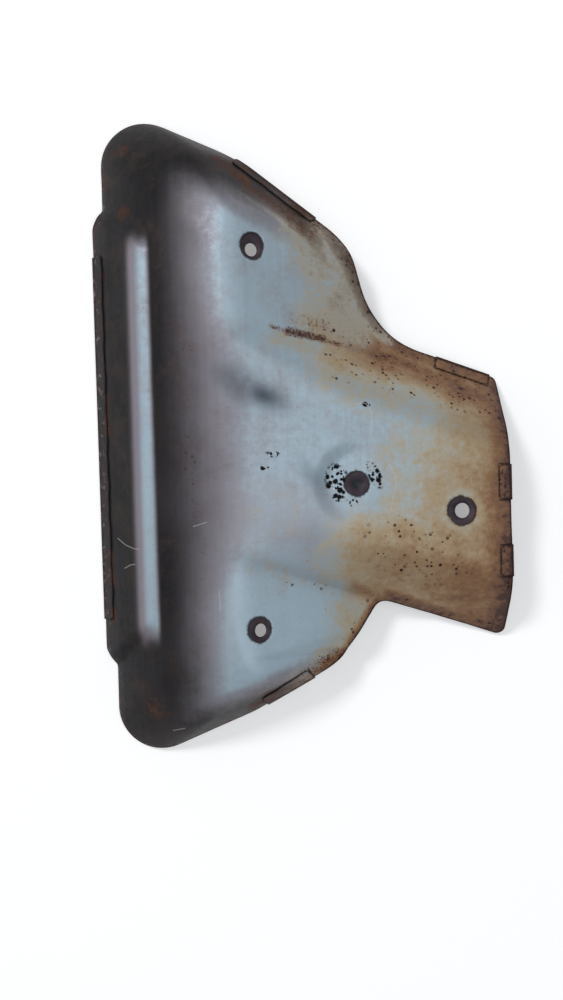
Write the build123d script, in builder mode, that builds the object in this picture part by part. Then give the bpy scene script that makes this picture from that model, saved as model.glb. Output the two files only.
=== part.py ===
from build123d import *
import os
from math import cos, radians, sin, sqrt, tan

# An exhaust manifold heat shield: two nested sheet pressings, held together by
# tabs of the inner one that are folded over the edges of the outer one.
# It lies on its rim, show face up, long side along Y, neck towards +X.

# Sheet metal
sheet = 0.5  # thickness of each pressing
nest_gap = 0.25  # air between the two pressings
tab_gap = 0.25  # air between a folded tab and the outer pressing

# Trim outline, seen from above
bead_rim_x = -112.5  # rim of the straight bead on the long side
lobe_rim_x = -106.5  # rim of the two end lobes beside it
bead_half_length = 119.0  # the bead's rim ends here, on both sides
step_run = 9.0  # length of the slanting step from the bead's rim to a lobe's
upper_tip_y = 190.0
upper_shoulder = (-38.8, 158.3)
upper_elbow = (30.8, 101.4)
upper_root_x = 43.3
lower_tip_y = -187.2
lower_shoulder = (-29.5, -156.1)
lower_elbow = (19.7, -125.3)
lower_root_x = 41.3
neck_end_x = 112.0
neck_half_width = 68.7

# Corner rounds of the outline
tip_round = 24.0
shoulder_round = 32.0
upper_elbow_round = 50.0
upper_root_round = 54.0
lower_elbow_round = 21.0
lower_root_round = 7.0
neck_corner_round = 4.0
step_round = 6.0

# Domed wall along the rim of the bead and the lobes
wall_height = 51.5  # from the rim to the dome's flat top
side_run = 80.0  # plan width of the wall on the long side
end_run = 36.0  # plan width of the wall at the two ends
end_reach = 1.5  # how far the end walls stand outside the trim
wall_bands = 12  # straight bands that make up the wall's curve

# Bead: a straight step pressed into the long side's wall
bead_wall_angle = 48.0
bead_height = 28.5  # from the rim to the shelf, halfway along
bead_shelf_slope = 0.2  # rise of the shelf towards the middle
bead_taper = 0.018  # rise of the shelf along Y
bead_round = 5.0
bead_end_angle = 50.0

# Tunnel over the exhaust pipe, from the middle down to the neck
axis_x = 42.3
axis_y = -21.9
axis_angle = -19.4  # heading of the tunnel, from +X
crown_z = 46.5  # height of the flat crown at the axis point
crown_fall = 0.155  # drop of the crown along the axis
crown_half_width = 37.7
crown_shift = -3.0  # the crown lies this far to one side of the axis
crown_round = 30.0
tunnel_wall_angle = 46.0

# Sloping lobes beside the tunnel and the ledge beside the neck
crest_x = -30.0  # crease between the dome and the lobes
crest_z = 52.3
lobe_fall = 0.46
ledge_z = 3.2  # height of the ledge at the neck's end
ledge_fall = 0.187
edge_z = 18.0  # height of the lobes' turned-down edges
edge_fall = 1.2
valley_round = 6.0
ridge_round = 10.0
ledge_blend = 60.0  # soft bend from the upper lobe to the ledge

# Dished seat in the crown
seat = (29.0, -31.1)
seat_z = 46.3
seat_radius = 17.0
seat_wall_angle = 45.0
dimple_diameter = 6.0  # blind dimple in the inner pressing
dimple_depth = 2.0

# Windows in the outer pressing and bolt holes in the inner one
upper_window = (-21.6, 94.7)
upper_bolt = (-21.9, 92.8)
lower_window = (-24.3, -105.4)
lower_bolt = (-23.5, -105.8)
neck_window = (84.8, -47.2)
neck_bolt = (85.2, -47.2)
lobe_window_diameter = 14.0
neck_window_diameter = 15.5
seat_window_diameter = 13.0
lobe_bolt_diameter = 7.0
neck_bolt_diameter = 8.0

# Folded tabs: start along their edge, length and width over the show face
hem_start, hem_length, hem_width = 17.0, 204.0, 6.0
upper_tab_start, upper_tab_length, upper_tab_width = 12.4, 54.9, 6.0
ledge_tab_start, ledge_tab_length, ledge_tab_width = 37.0, 32.0, 6.7
end_tab_start, end_tab_length, end_tab_width = 49.6, 19.0, 6.5
far_tab_start, far_tab_length, far_tab_width = 92.6, 17.0, 6.5
lower_tab_start, lower_tab_length, lower_tab_width = 18.4, 30.7, 7.0

# Depths behind the show face of the other faces in the stack
outer_back = sheet
inner_front = sheet + nest_gap
inner_back = 2 * sheet + nest_gap
tab_under = -tab_gap
tab_top = -tab_gap - sheet
lip = tab_gap + sheet  # a tab's bend stands out from the outline by this much

# The hem's lower edge touches the floor
rim_z = inner_back / cos(radians(bead_wall_angle)) + lip * tan(radians(bead_wall_angle))

# The tunnel's directions in plan
along = Vector(cos(radians(axis_angle)), sin(radians(axis_angle)), 0)
across = Vector(-along.Y, along.X, 0)

# Working space round the pressings
below = 8.0
above = 70.0
half_span = 260.0
base_z = rim_z - below


def neck_edge(x, side):
    """Point at x on one of the neck's two edges, which run beside the tunnel's axis."""
    centre = axis_y + (x - axis_x) * along.Y / along.X
    return (x, centre + side * neck_half_width / along.X)


upper_root = neck_edge(upper_root_x, 1)
upper_neck_corner = neck_edge(neck_end_x, 1)
lower_neck_corner = neck_edge(neck_end_x, -1)
lower_root = neck_edge(lower_root_x, -1)

# Corners of the outline in clockwise order, each with its round
outline = [
    ((lobe_rim_x, upper_tip_y), tip_round),
    (upper_shoulder, shoulder_round),
    (upper_elbow, upper_elbow_round),
    (upper_root, upper_root_round),
    (upper_neck_corner, neck_corner_round),
    (lower_neck_corner, neck_corner_round),
    (lower_root, lower_root_round),
    (lower_elbow, lower_elbow_round),
    (lower_shoulder, shoulder_round),
    ((lobe_rim_x, lower_tip_y), tip_round),
    ((lobe_rim_x, -bead_half_length - step_run), step_round),
    ((bead_rim_x, -bead_half_length), step_round),
    ((bead_rim_x, bead_half_length), step_round),
    ((lobe_rim_x, bead_half_length + step_run), step_round),
]


def fitted_rounds(corners):
    """The corner radii, each limited so that two rounds fit on the edge they share."""
    points = [Vector(*point) for point, _ in corners]
    count = len(points)
    tangents = []
    for i, (_, radius) in enumerate(corners):
        turn = (points[i] - points[i - 1]).get_angle(points[(i + 1) % count] - points[i])
        tangents.append((radius, tan(radians(turn / 2))))
    rounds = []
    for i, (radius, half_turn) in enumerate(tangents):
        for j in (i - 1, (i + 1) % count):
            needed = radius * half_turn + tangents[j][0] * tangents[j][1]
            room = (points[j] - points[i]).length
            radius = min(radius, tangents[i][0] * room / needed * 0.98)
        rounds.append(radius)
    return rounds


def edge_point(start, end, distance, outward):
    """Point beside the straight edge from start to end, on the outline's outer side."""
    run = (Vector(*end) - Vector(*start)).normalized()
    return Vector(*start) + run * distance + Vector(-run.Y, run.X) * outward


def behind(point, normal, depth):
    """Plane through a point of the show face, moved back by a depth."""
    return Plane(origin=point, z_dir=normal).offset(-depth)


def wall_reach(level, run, depth):
    """Plan distance from the rim to the domed wall at a level, for the face at a depth."""
    foot_slope = 2 * wall_height / run
    share = 1 - (level + depth) / wall_height
    for _ in range(8):
        slope = foot_slope * sqrt(share)
        share = 1 - (level + depth * sqrt(1 + slope * slope)) / wall_height
    return run * (1 - sqrt(share))


def end_wall_y(tip_y, shoulder, inset, x):
    """Y of an end wall's level line at x, the inset being measured square to the end."""
    slope = (shoulder[1] - tip_y) / (shoulder[0] - lobe_rim_x)
    side = 1 if tip_y > 0 else -1
    return tip_y + slope * (x - lobe_rim_x) - side * inset * sqrt(1 + slope * slope)


def dome(depth):
    """Domed wall: level sections with rounded corners, joined by straight bands from below the rim up."""
    flat_top = 0.3  # the parabola is cut off just under its vertex
    right = crest_x + 3 * crown_round  # beyond the crest the lobes cut the dome away
    top = wall_height - depth - flat_top
    shares = [1 - (1 - i / wall_bands) ** 2 for i in range(1, wall_bands + 1)]
    with BuildPart() as body:
        for level in [-below] + [top * share for share in shares]:
            left = lobe_rim_x + wall_reach(level, side_run, depth)
            inset = wall_reach(level, end_run, depth) - end_reach
            upper = [end_wall_y(upper_tip_y, upper_shoulder, inset, x) for x in (left, right)]
            lower = [end_wall_y(lower_tip_y, lower_shoulder, inset, x) for x in (left, right)]
            with BuildSketch(Plane.XY.offset(rim_z + level)):
                with BuildLine():
                    Polyline(
                        (left, lower[0]), (right, lower[1]), (right, upper[1]), (left, upper[0]), close=True
                    )
                make_face()
                fillet(vertices().sort_by(Axis.X)[:2], tip_round - depth)
        loft(ruled=True)
        with Locations((right - below, 0, base_z)):
            Box(half_span, 2 * half_span, top + below, align=(Align.MIN, Align.CENTER, Align.MIN))
    return body.part


def bead(depth):
    """Stepped bead: a wall and shelf profile lofted along Y, cut by a sloping plane at each end."""
    rise = tan(radians(bead_wall_angle))
    drop = depth * sqrt(1 + bead_shelf_slope**2)
    corner_shift = (depth * sqrt(1 + rise**2) - drop) / (rise - bead_shelf_slope)
    end_y = bead_half_length + step_run
    with BuildPart() as body:
        for y in (end_y + below, -end_y - below):
            height = bead_height + bead_taper * y
            corner_x = bead_rim_x + height / rise + corner_shift
            corner_z = rim_z + height + bead_shelf_slope * corner_shift - drop
            shelf_end = (corner_x + bead_height, corner_z + bead_shelf_slope * bead_height)
            with BuildSketch(Plane.XZ.offset(-y)):
                with BuildLine():
                    Polyline(
                        (corner_x - (corner_z - base_z) / rise, base_z),
                        (corner_x, corner_z),
                        shelf_end,
                        (shelf_end[0], base_z),
                        close=True,
                    )
                make_face()
                fillet(vertices().sort_by(Axis.X)[1:2], bead_round - depth)
        loft()
        tilt = radians(bead_end_angle)
        for side in (1, -1):
            end = behind((0, side * end_y, rim_z), (0, side * sin(tilt), cos(tilt)), depth)
            split(bisect_by=end, keep=Keep.BOTTOM)
    return body.part


def tunnel(depth):
    """Tunnel: a flat-crowned arch profile, square to the sloping axis and extruded along it."""
    wall = radians(tunnel_wall_angle)
    heading = (along - Vector(0, 0, crown_fall)).normalized()
    start = Vector(axis_x, axis_y, crown_z) - heading * half_span / 2
    half = crown_half_width - depth * tan(wall / 2)
    foot = half + (2 * above - depth) / tan(wall)
    with BuildPart() as body:
        with BuildSketch(Plane(origin=start, x_dir=across, z_dir=heading)):
            with BuildLine():
                Polyline(
                    (crown_shift - foot, -2 * above),
                    (crown_shift - half, -depth),
                    (crown_shift + half, -depth),
                    (crown_shift + foot, -2 * above),
                    close=True,
                )
            make_face()
            fillet(vertices().sort_by(Axis.Y)[-2:], min(crown_round, 0.9 * half / tan(wall / 2)) - depth)
        extrude(amount=half_span)
    return body.part


def block(side, cut):
    """Block of the working space on one side of the tunnel's axis, under a cutting plane."""
    axis_plane = Plane(origin=(axis_x, axis_y, 0), z_dir=across)
    with BuildPart() as body:
        with Locations((0, 0, -2 * below)):
            Box(half_span, 1.5 * half_span, 2 * above, align=(Align.CENTER, Align.CENTER, Align.MIN))
        split(bisect_by=axis_plane, keep=Keep.TOP if side > 0 else Keep.BOTTOM)
        split(bisect_by=cut, keep=Keep.BOTTOM)
    return body.part


def turned_edge(start, end, depth):
    """Plane of a lobe's turned-down edge, along the outline's edge from start to end."""
    foot = edge_point(start, end, 0, 0)
    out = edge_point(start, end, 0, 1) - foot
    return behind((foot.X, foot.Y, edge_z), (out.X * edge_fall, out.Y * edge_fall, 1), depth)


def is_crease(edge, part, concave):
    """True for a crease between two flat faces of the roof that both look up."""
    sides = [face for face in part.faces() if any(edge.is_same(other) for other in face.edges())]
    flat = all(face.geom_type == GeomType.PLANE and face.normal_at().Z > 0.2 for face in sides)
    return flat and edge.is_interior == concave and edge.center().Z < wall_height


def roof(depth):
    """Tunnel, lobes and ledge, with rounded ridges on the lobes and valleys beside the tunnel."""
    slope = behind((crest_x, 0, crest_z), (lobe_fall, 0, 1), depth)
    ledge = behind((neck_end_x, 0, ledge_z), (ledge_fall, 0, 1), depth)
    arch = tunnel(depth)
    upper_lobe = block(1, slope)
    upper_ledge = block(1, ledge)
    lower_lobe = block(-1, slope)
    with BuildPart() as upper:
        add(upper_lobe)
        add(upper_ledge)
        fillet([edge for edge in edges() if is_crease(edge, upper.part, True)], ledge_blend + depth)
        split(bisect_by=turned_edge(upper_shoulder, upper_elbow, depth), keep=Keep.BOTTOM)
        fillet([edge for edge in edges() if is_crease(edge, upper.part, False)], ridge_round - depth)
    with BuildPart() as lower:
        add(lower_lobe)
        split(bisect_by=turned_edge(lower_elbow, lower_shoulder, depth), keep=Keep.BOTTOM)
        fillet([edge for edge in edges() if is_crease(edge, lower.part, False)], ridge_round - depth)
    with BuildPart() as body:
        add(upper.part)
        add(lower.part)
        add(arch)
        with Locations((0, 0, -2 * below)):
            Box(
                half_span, 1.5 * half_span, 2 * above,
                align=(Align.CENTER, Align.CENTER, Align.MIN), mode=Mode.INTERSECT,
            )
        fillet([edge for edge in edges() if is_crease(edge, body.part, True)], valley_round + depth)
    return body.part


def press(depth):
    """Everything under the face that lies at a depth behind the show face."""
    wall = dome(depth)
    step = bead(depth)
    cover = roof(depth)
    draft = tan(radians(seat_wall_angle))
    dish_height = seat_radius * draft
    dish_radius = seat_radius + depth * tan(radians(seat_wall_angle / 2))
    with BuildPart() as body:
        add(wall)
        add(step)
        add(cover, mode=Mode.INTERSECT)
        with Locations((*seat, seat_z - depth)):
            Cone(
                dish_radius, dish_radius + dish_height / draft, dish_height,
                align=(Align.CENTER, Align.CENTER, Align.MIN), mode=Mode.SUBTRACT,
            )
    return body.part


def on_lobe(point):
    """Plane on a lobe's slope at a point of the plan."""
    return Plane(
        origin=(*point, crest_z - lobe_fall * (point[0] - crest_x)), z_dir=(lobe_fall, 0, 1)
    )


def on_crown(point):
    """Plane on the tunnel's crown at a point of the plan."""
    distance = (Vector(*point) - Vector(axis_x, axis_y)).dot(along)
    return Plane(
        origin=(*point, crown_z - crown_fall * distance),
        z_dir=(crown_fall * along.X, crown_fall * along.Y, 1),
    )


hem_edge = [(bead_rim_x, -bead_half_length), (bead_rim_x, bead_half_length)]
upper_edge = [upper_shoulder, upper_elbow]
ledge_edge = [upper_root, upper_neck_corner]
end_edge = [upper_neck_corner, lower_neck_corner]
lower_edge = [lower_elbow, lower_shoulder]
tabs = [
    (hem_edge, hem_start, hem_length, hem_width),
    (upper_edge, upper_tab_start, upper_tab_length, upper_tab_width),
    (ledge_edge, ledge_tab_start, ledge_tab_length, ledge_tab_width),
    (end_edge, end_tab_start, end_tab_length, end_tab_width),
    (end_edge, far_tab_start, far_tab_length, far_tab_width),
    (lower_edge, lower_tab_start, lower_tab_length, lower_tab_width),
]


def strips(inner_side, outer_side):
    """Upright blocks along each tab's edge, between two distances outward of the outline."""
    with BuildPart() as body:
        for edge, start, length, width in tabs:
            inside = -width if inner_side is None else inner_side
            with BuildSketch(Plane.XY.offset(-below / 4)):
                with BuildLine():
                    Polyline(
                        edge_point(*edge, start, inside),
                        edge_point(*edge, start + length, inside),
                        edge_point(*edge, start + length, outer_side),
                        edge_point(*edge, start, outer_side),
                        close=True,
                    )
                make_face()
            extrude(amount=above)
    return body.part


with BuildPart() as trim:
    with BuildSketch(Plane.XY.offset(-below / 4)):
        with BuildLine():
            FilletPolyline(*[point for point, _ in outline], radius=fitted_rounds(outline), close=True)
        make_face()
    extrude(amount=above)

show_face = press(0)
outer_back_face = press(outer_back)
inner_front_face = press(inner_front)
inner_back_face = press(inner_back)
tab_under_face = press(tab_under)
tab_top_face = press(tab_top)

# Outer pressing: the show face with its windows
with BuildPart() as outer_sheet:
    add(trim.part)
    add(show_face, mode=Mode.INTERSECT)
    add(outer_back_face, mode=Mode.SUBTRACT)
    with BuildSketch(on_lobe(upper_window), on_lobe(lower_window)):
        Circle(lobe_window_diameter / 2)
    extrude(amount=below, both=True, mode=Mode.SUBTRACT)
    with BuildSketch(on_crown(neck_window)):
        Circle(neck_window_diameter / 2)
    extrude(amount=below, both=True, mode=Mode.SUBTRACT)
    with BuildSketch(Plane.XY.offset(seat_z)):
        with Locations(seat):
            Circle(seat_window_diameter / 2)
    extrude(amount=below, both=True, mode=Mode.SUBTRACT)

# The tabs' two parts: bends outside the trim and leaves over the show face
bend_strips = strips(tab_gap, lip)
leaf_strips = strips(None, lip)
with BuildPart() as bends:
    add(bend_strips)
    add(tab_top_face, mode=Mode.INTERSECT)
    add(inner_back_face, mode=Mode.SUBTRACT)
with BuildPart() as leaves:
    add(leaf_strips)
    add(tab_top_face, mode=Mode.INTERSECT)
    add(tab_under_face, mode=Mode.SUBTRACT)

# Inner pressing: nested behind the outer one, with its tabs, bolt holes and dimple
with BuildPart() as inner_sheet:
    add(trim.part)
    add(leaf_strips)
    add(inner_front_face, mode=Mode.INTERSECT)
    add(inner_back_face, mode=Mode.SUBTRACT)
    add(bends.part)
    add(leaves.part)
    with BuildSketch(on_lobe(upper_bolt), on_lobe(lower_bolt)):
        Circle(lobe_bolt_diameter / 2)
    extrude(amount=below, both=True, mode=Mode.SUBTRACT)
    with BuildSketch(on_crown(neck_bolt)):
        Circle(neck_bolt_diameter / 2)
    extrude(amount=below, both=True, mode=Mode.SUBTRACT)
    with Locations((*seat, seat_z - inner_front)):
        Cylinder(
            dimple_diameter / 2 + sheet, dimple_depth + sheet,
            align=(Align.CENTER, Align.CENTER, Align.MAX),
        )
        Cylinder(
            dimple_diameter / 2, dimple_depth,
            align=(Align.CENTER, Align.CENTER, Align.MAX), mode=Mode.SUBTRACT,
        )

os.makedirs("parts", exist_ok=True)
for piece, name in ((outer_sheet, "outer_sheet"), (inner_sheet, "inner_sheet")):
    piece.part.label = name
    export_step(piece.part, f"parts/{name}.step")
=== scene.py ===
# %% [markdown]
# # A used exhaust heat shield, seen from above
#
# The real shield is two thin steel pressings, one nested behind the other. Tabs of the inner one, folded
# over the outer one's edges, hold the pair together. This lesson builds both as a press shop does: cut a
# flat blank, push it into shape, give it its thickness, fold the tabs. Then it paints on years of heat:
# blue-grey metal, tan temper colours, dark scale and rust, and with them painted shade, painted
# highlights and painted reflection.

# %% Load the imported frame
from math import atan2, ceil, cos, pi, radians, sin, sqrt, tan

import bpy
import numpy as np
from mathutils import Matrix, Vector
from mathutils.geometry import delaunay_2d_cdt


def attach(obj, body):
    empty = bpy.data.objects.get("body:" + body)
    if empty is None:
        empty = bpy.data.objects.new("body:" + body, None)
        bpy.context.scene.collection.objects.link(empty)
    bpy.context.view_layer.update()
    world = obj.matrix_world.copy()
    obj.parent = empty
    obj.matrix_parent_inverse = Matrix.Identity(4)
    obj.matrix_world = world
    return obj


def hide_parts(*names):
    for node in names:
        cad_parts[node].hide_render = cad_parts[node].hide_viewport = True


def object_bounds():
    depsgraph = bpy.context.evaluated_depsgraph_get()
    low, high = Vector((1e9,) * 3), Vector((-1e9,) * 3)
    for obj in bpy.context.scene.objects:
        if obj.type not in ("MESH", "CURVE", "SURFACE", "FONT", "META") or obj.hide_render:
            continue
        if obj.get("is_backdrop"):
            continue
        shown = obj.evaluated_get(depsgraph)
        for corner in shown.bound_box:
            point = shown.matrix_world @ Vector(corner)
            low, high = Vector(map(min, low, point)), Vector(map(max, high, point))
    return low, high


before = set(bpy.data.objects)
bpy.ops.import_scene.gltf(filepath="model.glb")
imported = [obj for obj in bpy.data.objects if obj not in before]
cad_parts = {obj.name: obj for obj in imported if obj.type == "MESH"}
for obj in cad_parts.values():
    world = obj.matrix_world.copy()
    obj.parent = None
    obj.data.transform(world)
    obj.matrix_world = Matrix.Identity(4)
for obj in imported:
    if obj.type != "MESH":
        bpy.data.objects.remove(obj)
cad_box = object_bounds()
print("CAD box, metres:", [[round(c, 4) for c in corner] for corner in cad_box])

# %% [markdown]
# ## The sizes of the pressing
#
# Sizes are in millimetres until a mesh is made. The form is a domed wall, a stepped bead, a tunnel with a
# flat crown, two sloping lobes, a ledge and a dished seat. It could be sculpted, but a formula keeps it
# exact, and the same formula serves both sheets and the tabs.

# %% Sizes in millimetres
MM = 0.001
sheet = 0.5
nest_gap = 0.25
tab_gap = 0.25
lip = tab_gap + sheet

bead_rim_x = -112.5
lobe_rim_x = -106.5
bead_half_length = 119.0
step_run = 9.0
upper_tip_y, lower_tip_y = 190.0, -187.2
upper_shoulder, lower_shoulder = (-38.8, 158.3), (-29.5, -156.1)
upper_elbow, lower_elbow = (30.8, 101.4), (19.7, -125.3)
upper_root_x, lower_root_x = 43.3, 41.3
neck_end_x = 112.0
neck_half_width = 68.7

wall_height, side_run, end_run, end_reach = 51.5, 80.0, 36.0, 1.5
tip_round, flat_top = 24.0, 0.3
upper_lean, lower_lean = -0.42, -0.37
foot_drop, foot_reach = 1.2, 6.0
lobes_end_x, lobes_fade = 50.0, 10.0
bead_wall_angle, bead_end_angle = radians(48.0), radians(50.0)
bead_wall_slope, bead_end_slope = tan(bead_wall_angle), tan(bead_end_angle)
bead_height, bead_shelf_slope, bead_taper = 28.5, 0.2, 0.018
shelf_reach = (-30, 14)
rim_z = (2 * sheet + nest_gap) / cos(bead_wall_angle) + lip * bead_wall_slope

axis, axis_angle = (42.3, -21.9), radians(-19.4)
crown_z, crown_fall = 46.5, 0.155
crown_half_width, crown_shift = 37.7, -3.0
flank_start, flank_end, flank_overrun = 33.0, 70.0, 1.2
tunnel_wall_slope = tan(radians(46.0)) * sqrt(1 + crown_fall**2)
crest_x, crest_z, lobe_fall = -30.0, 52.3, 0.46
ledge_z, ledge_fall = 3.2, 0.187
edge_z, edge_fall = 18.0, 1.2
seat, seat_depth = (29.0, -31.1), 3.4
seat_floor, seat_rim, seat_fade = 13.0, 24.0, 28.0

# Widths over which ridges and valleys are rounded.
bead_round, bead_end_round, bead_join = 2.6, 5.0, 1.6
tunnel_round, ledge_join, edge_round, valley_round, crest_round = 11.0, 2.0, 4.0, 4.5, 4.0
print("sheet", sheet, "mm, nested at", nest_gap, "mm")

# %% [markdown]
# ## Soft slopes
#
# The show face's height over the plan is built from simple slopes. Where two meet, a plain minimum or
# maximum would leave a knife edge, so soft versions round each ridge and valley, as drawing the steel
# does.

# %% Soft slopes


def ramp(value, low, high):
    """Rises smoothly from 0 at low to 1 at high."""
    share = np.clip((value - low) / (high - low), 0, 1)
    return share * share * (3 - 2 * share)


def band(distance, full, end):
    """1 up to a distance, then fading to 0 at another."""
    return 1 - ramp(distance, full, end)


def soft_min(a, b, width):
    """The lower of two surfaces, with their ridge rounded over a width."""
    overlap = np.maximum(width - np.abs(a - b), 0)
    return np.minimum(a, b) - overlap**2 / (4 * width)


def soft_max(a, b, width):
    """The higher of two surfaces, with their valley rounded over a width."""
    return -soft_min(-a, -b, width)


def inside(x, y, start, end):
    """Distance to the right of the line from start to end, which is inside a clockwise outline."""
    run = np.hypot(end[0] - start[0], end[1] - start[1])
    return ((x - start[0]) * (end[1] - start[1]) - (y - start[1]) * (end[0] - start[0])) / run


print("rounding a ridge over 4 mm takes off", -soft_min(0.0, 0.0, 4.0), "mm")

# %% [markdown]
# ## The wall and the bead
#
# The wall is steep at its foot and flat at its top. At each level its section has three straight sides
# and rounded corners, so a point's level is found by halving: is the point inside this section or not?
# The bead is a straight step in the long side, which stiffens the sheet.

# %% The wall and the bead


def corner_room(p, q, lean):
    """Distance inside two lines whose corner is rounded, from the distances inside each of them.

    The lean is the cosine of the angle between the two directions that point inside.
    """
    p, q = p - tip_round, q - tip_round
    a = (p - lean * q) / (1 - lean**2)
    b = (q - lean * p) / (1 - lean**2)
    reach = np.sqrt(np.maximum(a * p + b * q, 0))
    return tip_round + np.where((a < 0) & (b < 0), -reach, np.minimum(p, q))


def wall_share(x, y):
    """How far down the domed wall a point lies: 0 on the flat top and 1 at the rim."""
    side = x - lobe_rim_x
    upper = inside(x, y, (lobe_rim_x, upper_tip_y), upper_shoulder) + end_reach
    lower = inside(x, y, lower_shoulder, (lobe_rim_x, lower_tip_y)) + end_reach
    outermost, halvings = 1.6, 18
    low, high = np.zeros_like(side), np.full_like(side, outermost)
    for _ in range(halvings):
        share = (low + high) / 2
        from_side = side - side_run * (1 - share)
        upper_room = corner_room(from_side, upper - end_run * (1 - share), upper_lean)
        lower_room = corner_room(from_side, lower - end_run * (1 - share), lower_lean)
        within_section = np.minimum(upper_room, lower_room) > 0
        low, high = np.where(within_section, low, share), np.where(within_section, share, high)
    return high


def domed_wall(x, y):
    """Parabolic wall round the long side and the two ends, cut flat just under its top."""
    wall = wall_height * (1 - wall_share(x, y) ** 2)
    beyond_lobes = np.clip((x - lobes_end_x) / lobes_fade, 0, 1)
    wall += (wall_height - wall) * beyond_lobes
    return np.minimum(wall, wall_height - flat_top)


def stepped_bead(x, y):
    """Straight wall and shelf of the long side, ending in a slope at each end."""
    height = bead_height + bead_taper * y
    corner = bead_rim_x + height / bead_wall_slope
    wall = bead_wall_slope * (x - bead_rim_x)
    shelf = height + bead_shelf_slope * np.clip(x - corner, *shelf_reach)
    ends = bead_end_slope * (bead_half_length + step_run - np.abs(y))
    return soft_min(soft_min(wall, shelf, bead_round), ends, bead_end_round)


# %% [markdown]
# ## Tunnel, lobes and seat
#
# The tunnel falls towards the open neck, and a lobe slopes away on each side of it. The lower flank runs
# out gently to the line of the neck's edge, while the upper one ends in a clear valley. A round seat is
# dished into the crown.

# %% Tunnel, lobes and seat


def tunnel(along, across):
    """Flat crown falling along the axis, with a straight wall on each side."""
    crown = crown_z - crown_fall * along
    drop = tunnel_wall_slope * (np.abs(across - crown_shift) - crown_half_width)
    return soft_min(crown, crown - drop, tunnel_round)


def lower_flank(along, across, slope):
    """Gentle flank from the crown's lower edge to the lower lobe's slope, along the neck's edge line."""
    crown = crown_z - crown_fall * along
    share = np.clip((-across - flank_start) / (flank_end - flank_start), 0, flank_overrun)
    return crown + (slope - crown) * share**2


def turned(x, y, centre, turn):
    """Distances from a centre along and across a direction."""
    east, north = x - centre[0], y - centre[1]
    return east * cos(turn) + north * sin(turn), north * cos(turn) - east * sin(turn)


def show_face(x, y):
    """Height of the outer pressing's show face, in millimetres over the floor."""
    wall = soft_max(domed_wall(x, y), stepped_bead(x, y), bead_join)
    wall = rim_z + wall - foot_drop * np.exp(-np.maximum(wall, 0) / foot_reach)
    along, across = turned(x, y, axis, axis_angle)
    slope = crest_z - lobe_fall * (x - crest_x)
    ledge = ledge_z - ledge_fall * (x - neck_end_x)
    upper_edge = edge_z + edge_fall * inside(x, y, upper_shoulder, upper_elbow)
    lower_edge = edge_z + edge_fall * inside(x, y, lower_elbow, lower_shoulder)
    upper = soft_min(soft_max(slope, ledge, ledge_join), upper_edge, edge_round)
    lower = soft_min(slope, lower_edge, edge_round)
    roof = soft_max(tunnel(along, across), np.where(across > 0, upper, lower), valley_round)
    roof = np.where(across > 0, roof, np.maximum(roof, lower_flank(along, across, slope)))
    from_seat = np.hypot(x - seat[0], y - seat[1])
    dish = seat_depth * band(from_seat, seat_floor, seat_rim) * ramp(-along, 0, seat_fade)
    return soft_min(wall, roof, crest_round) - dish


def at(surface, x, y):
    """A surface's or a mask's value at one point."""
    return round(float(surface(np.array([x]), np.array([y]))[0]), 2)


heights = [at(show_face, *spot) for spot in ((-50.0, 0.0), (42.0, -22.0), seat)]
print("dome, crown and seat:", heights, "mm high")

# %% [markdown]
# ## The trimmed outline
#
# A die trims the blank, so its outline is straight runs and arcs, and the neck's edges run beside the
# tunnel's axis. Years of use have nibbled it, so slow waves move it inward by tenths of a millimetre.

# %% Outline of the blank


def neck_edge(x, side):
    """Point at x on one of the neck's edges."""
    return (x, axis[1] + (x - axis[0]) * tan(axis_angle) + side * neck_half_width / cos(axis_angle))


upper_root, lower_root = neck_edge(upper_root_x, 1), neck_edge(lower_root_x, -1)
upper_neck, lower_neck = neck_edge(neck_end_x, 1), neck_edge(neck_end_x, -1)
# Corners, clockwise from the upper tip, each with its radius.
outline_corners = [
    ((lobe_rim_x, upper_tip_y), 24.0),
    (upper_shoulder, 32.0),
    (upper_elbow, 46.0),
    (upper_root, 50.0),
    (upper_neck, 4.0),
    (lower_neck, 4.0),
    (lower_root, 7.0),
    (lower_elbow, 21.0),
    (lower_shoulder, 32.0),
    ((lobe_rim_x, lower_tip_y), 24.0),
    ((lobe_rim_x, -bead_half_length - step_run), 6.0),
    ((bead_rim_x, -bead_half_length), 6.0),
    ((bead_rim_x, bead_half_length), 6.0),
    ((lobe_rim_x, bead_half_length + step_run), 6.0),
]


def rounded_outline(corners, spacing):
    """Evenly spaced points along straight runs joined by tangent arcs."""
    track = []
    for i, (corner, radius) in enumerate(corners):
        here = np.array(corner)
        before = here - np.array(corners[i - 1][0])
        after = np.array(corners[(i + 1) % len(corners)][0]) - here
        before, after = before / np.linalg.norm(before), after / np.linalg.norm(after)
        turn = atan2(before[0] * after[1] - before[1] * after[0], before @ after)
        reach = radius * tan(abs(turn) / 2)
        start = here - before * reach
        normal = np.array((-before[1], before[0])) * np.sign(turn)
        for share in np.linspace(0, 1, max(3, ceil(radius * abs(turn)))):
            angle = abs(turn) * share
            track.append(start + before * radius * sin(angle) + normal * radius * (1 - cos(angle)))
    track = np.array(track + track[:1])
    length = np.concatenate([[0], np.cumsum(np.hypot(*np.diff(track, axis=0).T))])
    stations = np.linspace(0, length[-1], round(length[-1] / spacing), endpoint=False)
    return np.column_stack([np.interp(stations, length, track[:, k]) for k in (0, 1)])


def moved_inward(loop, distance):
    """A clockwise loop with each point moved to its inner side."""
    run = np.roll(loop, -1, axis=0) - np.roll(loop, 1, axis=0)
    run /= np.linalg.norm(run, axis=1)[:, None]
    return loop + np.column_stack([run[:, 1], -run[:, 0]]) * np.asarray(distance)[:, None]


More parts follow.
